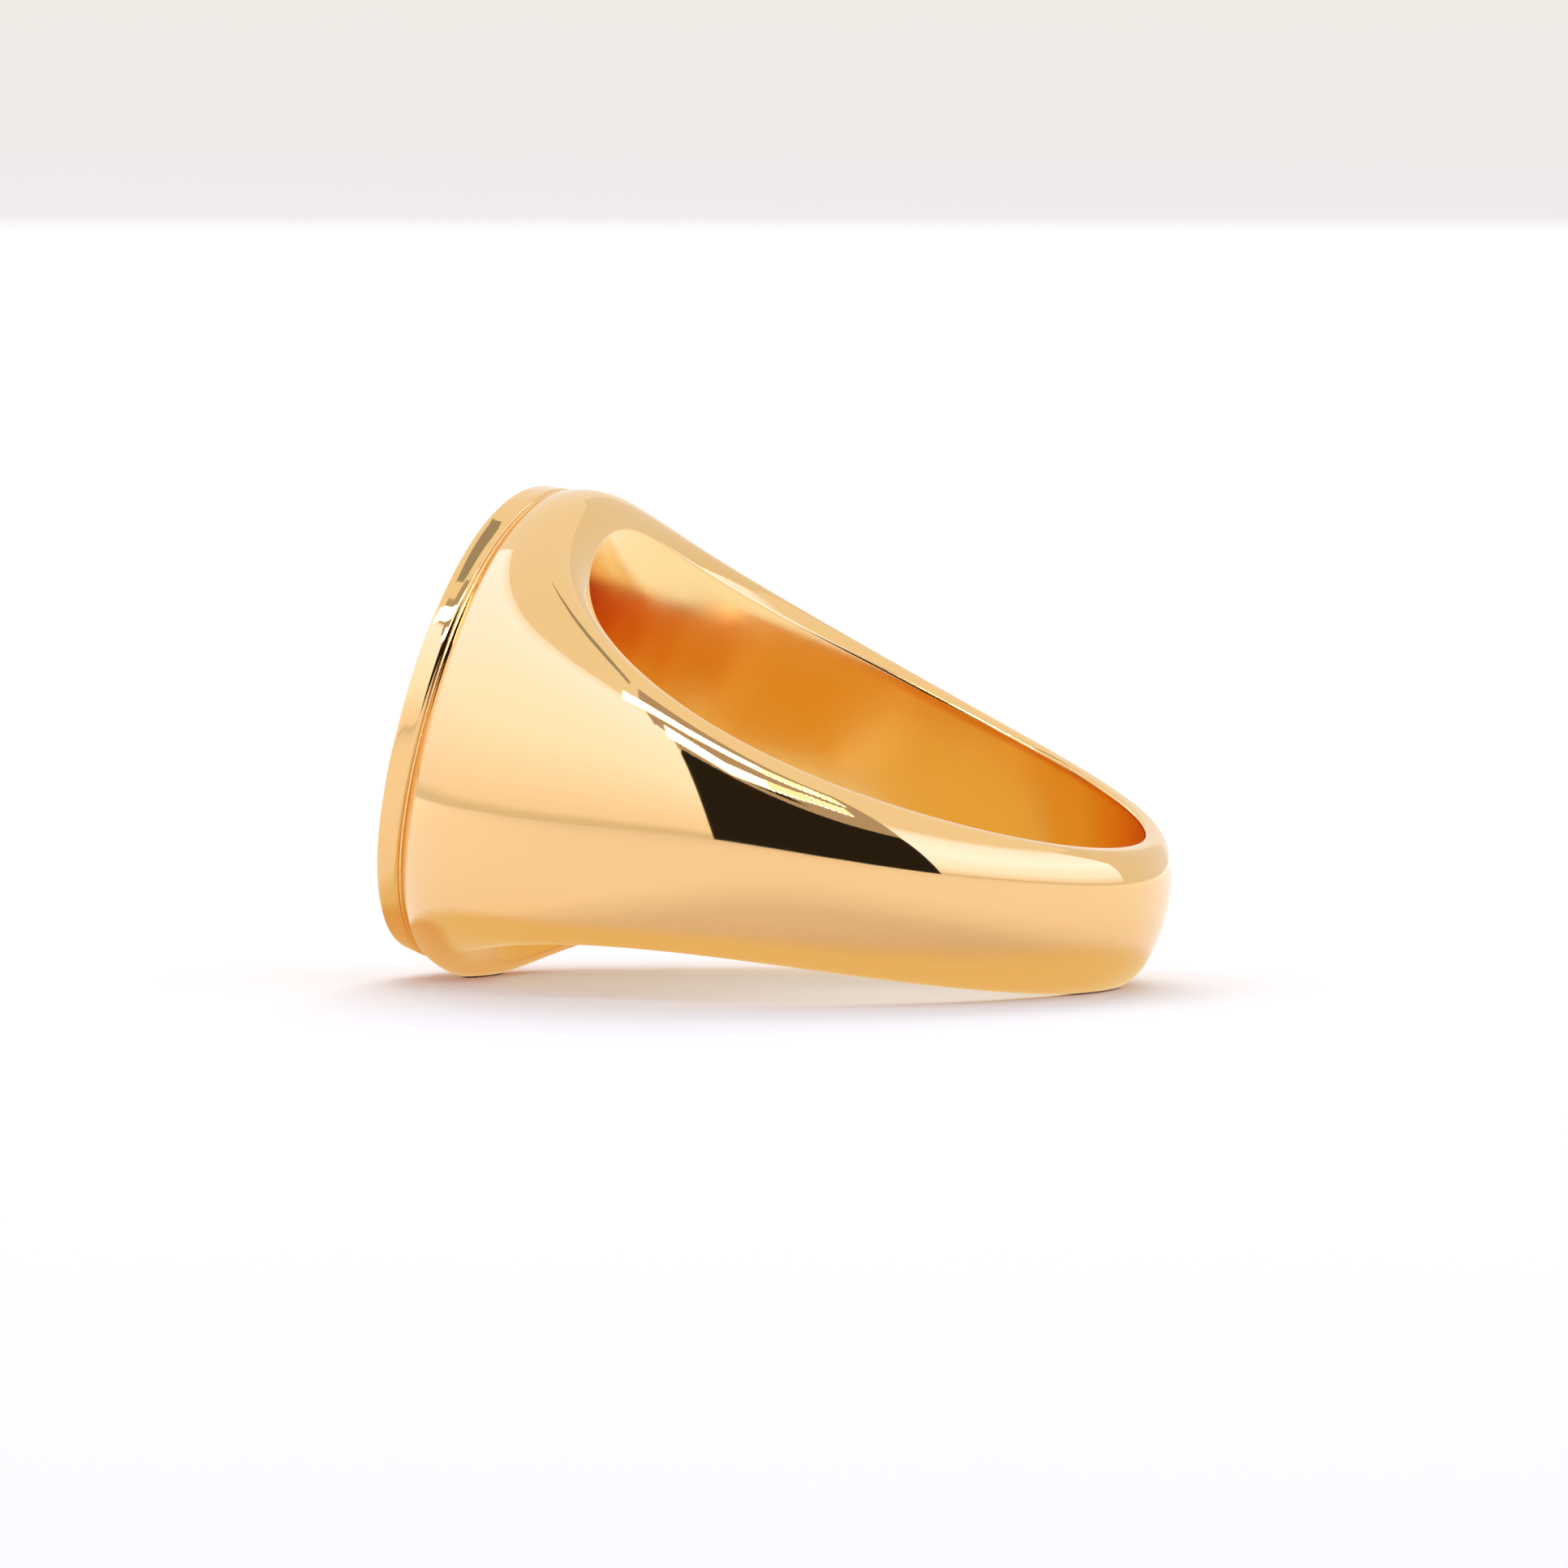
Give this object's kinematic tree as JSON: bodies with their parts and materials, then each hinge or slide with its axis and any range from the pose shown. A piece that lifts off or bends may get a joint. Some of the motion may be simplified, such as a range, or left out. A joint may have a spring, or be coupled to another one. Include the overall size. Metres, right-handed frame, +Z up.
{
  "type": "signet ring",
  "caption": "Polished gold-coloured signet ring with a plain rounded face plate on a flared head and a band that narrows to the back, worn on a finger.",
  "frame": {"origin": "centre of the bounding box in X and Y, on the plane the ring rests on", "axes": "+X from the head towards the back of the band, +Z up from the resting plane; the ring lies on its side and is mirror-symmetric about Y = 0"},
  "size_m": [0.0248, 0.0218, 0.0156],
  "materials": {
    "body_gold": "polished yellow gold",
    "solder": "polished gold solder",
    "plate_gold": "polished yellow gold"
  },
  "bodies": {
    "root": {"body": "body_gold", "solder_layer": "solder", "face_plate": "plate_gold"}
  },
  "joints": []
}
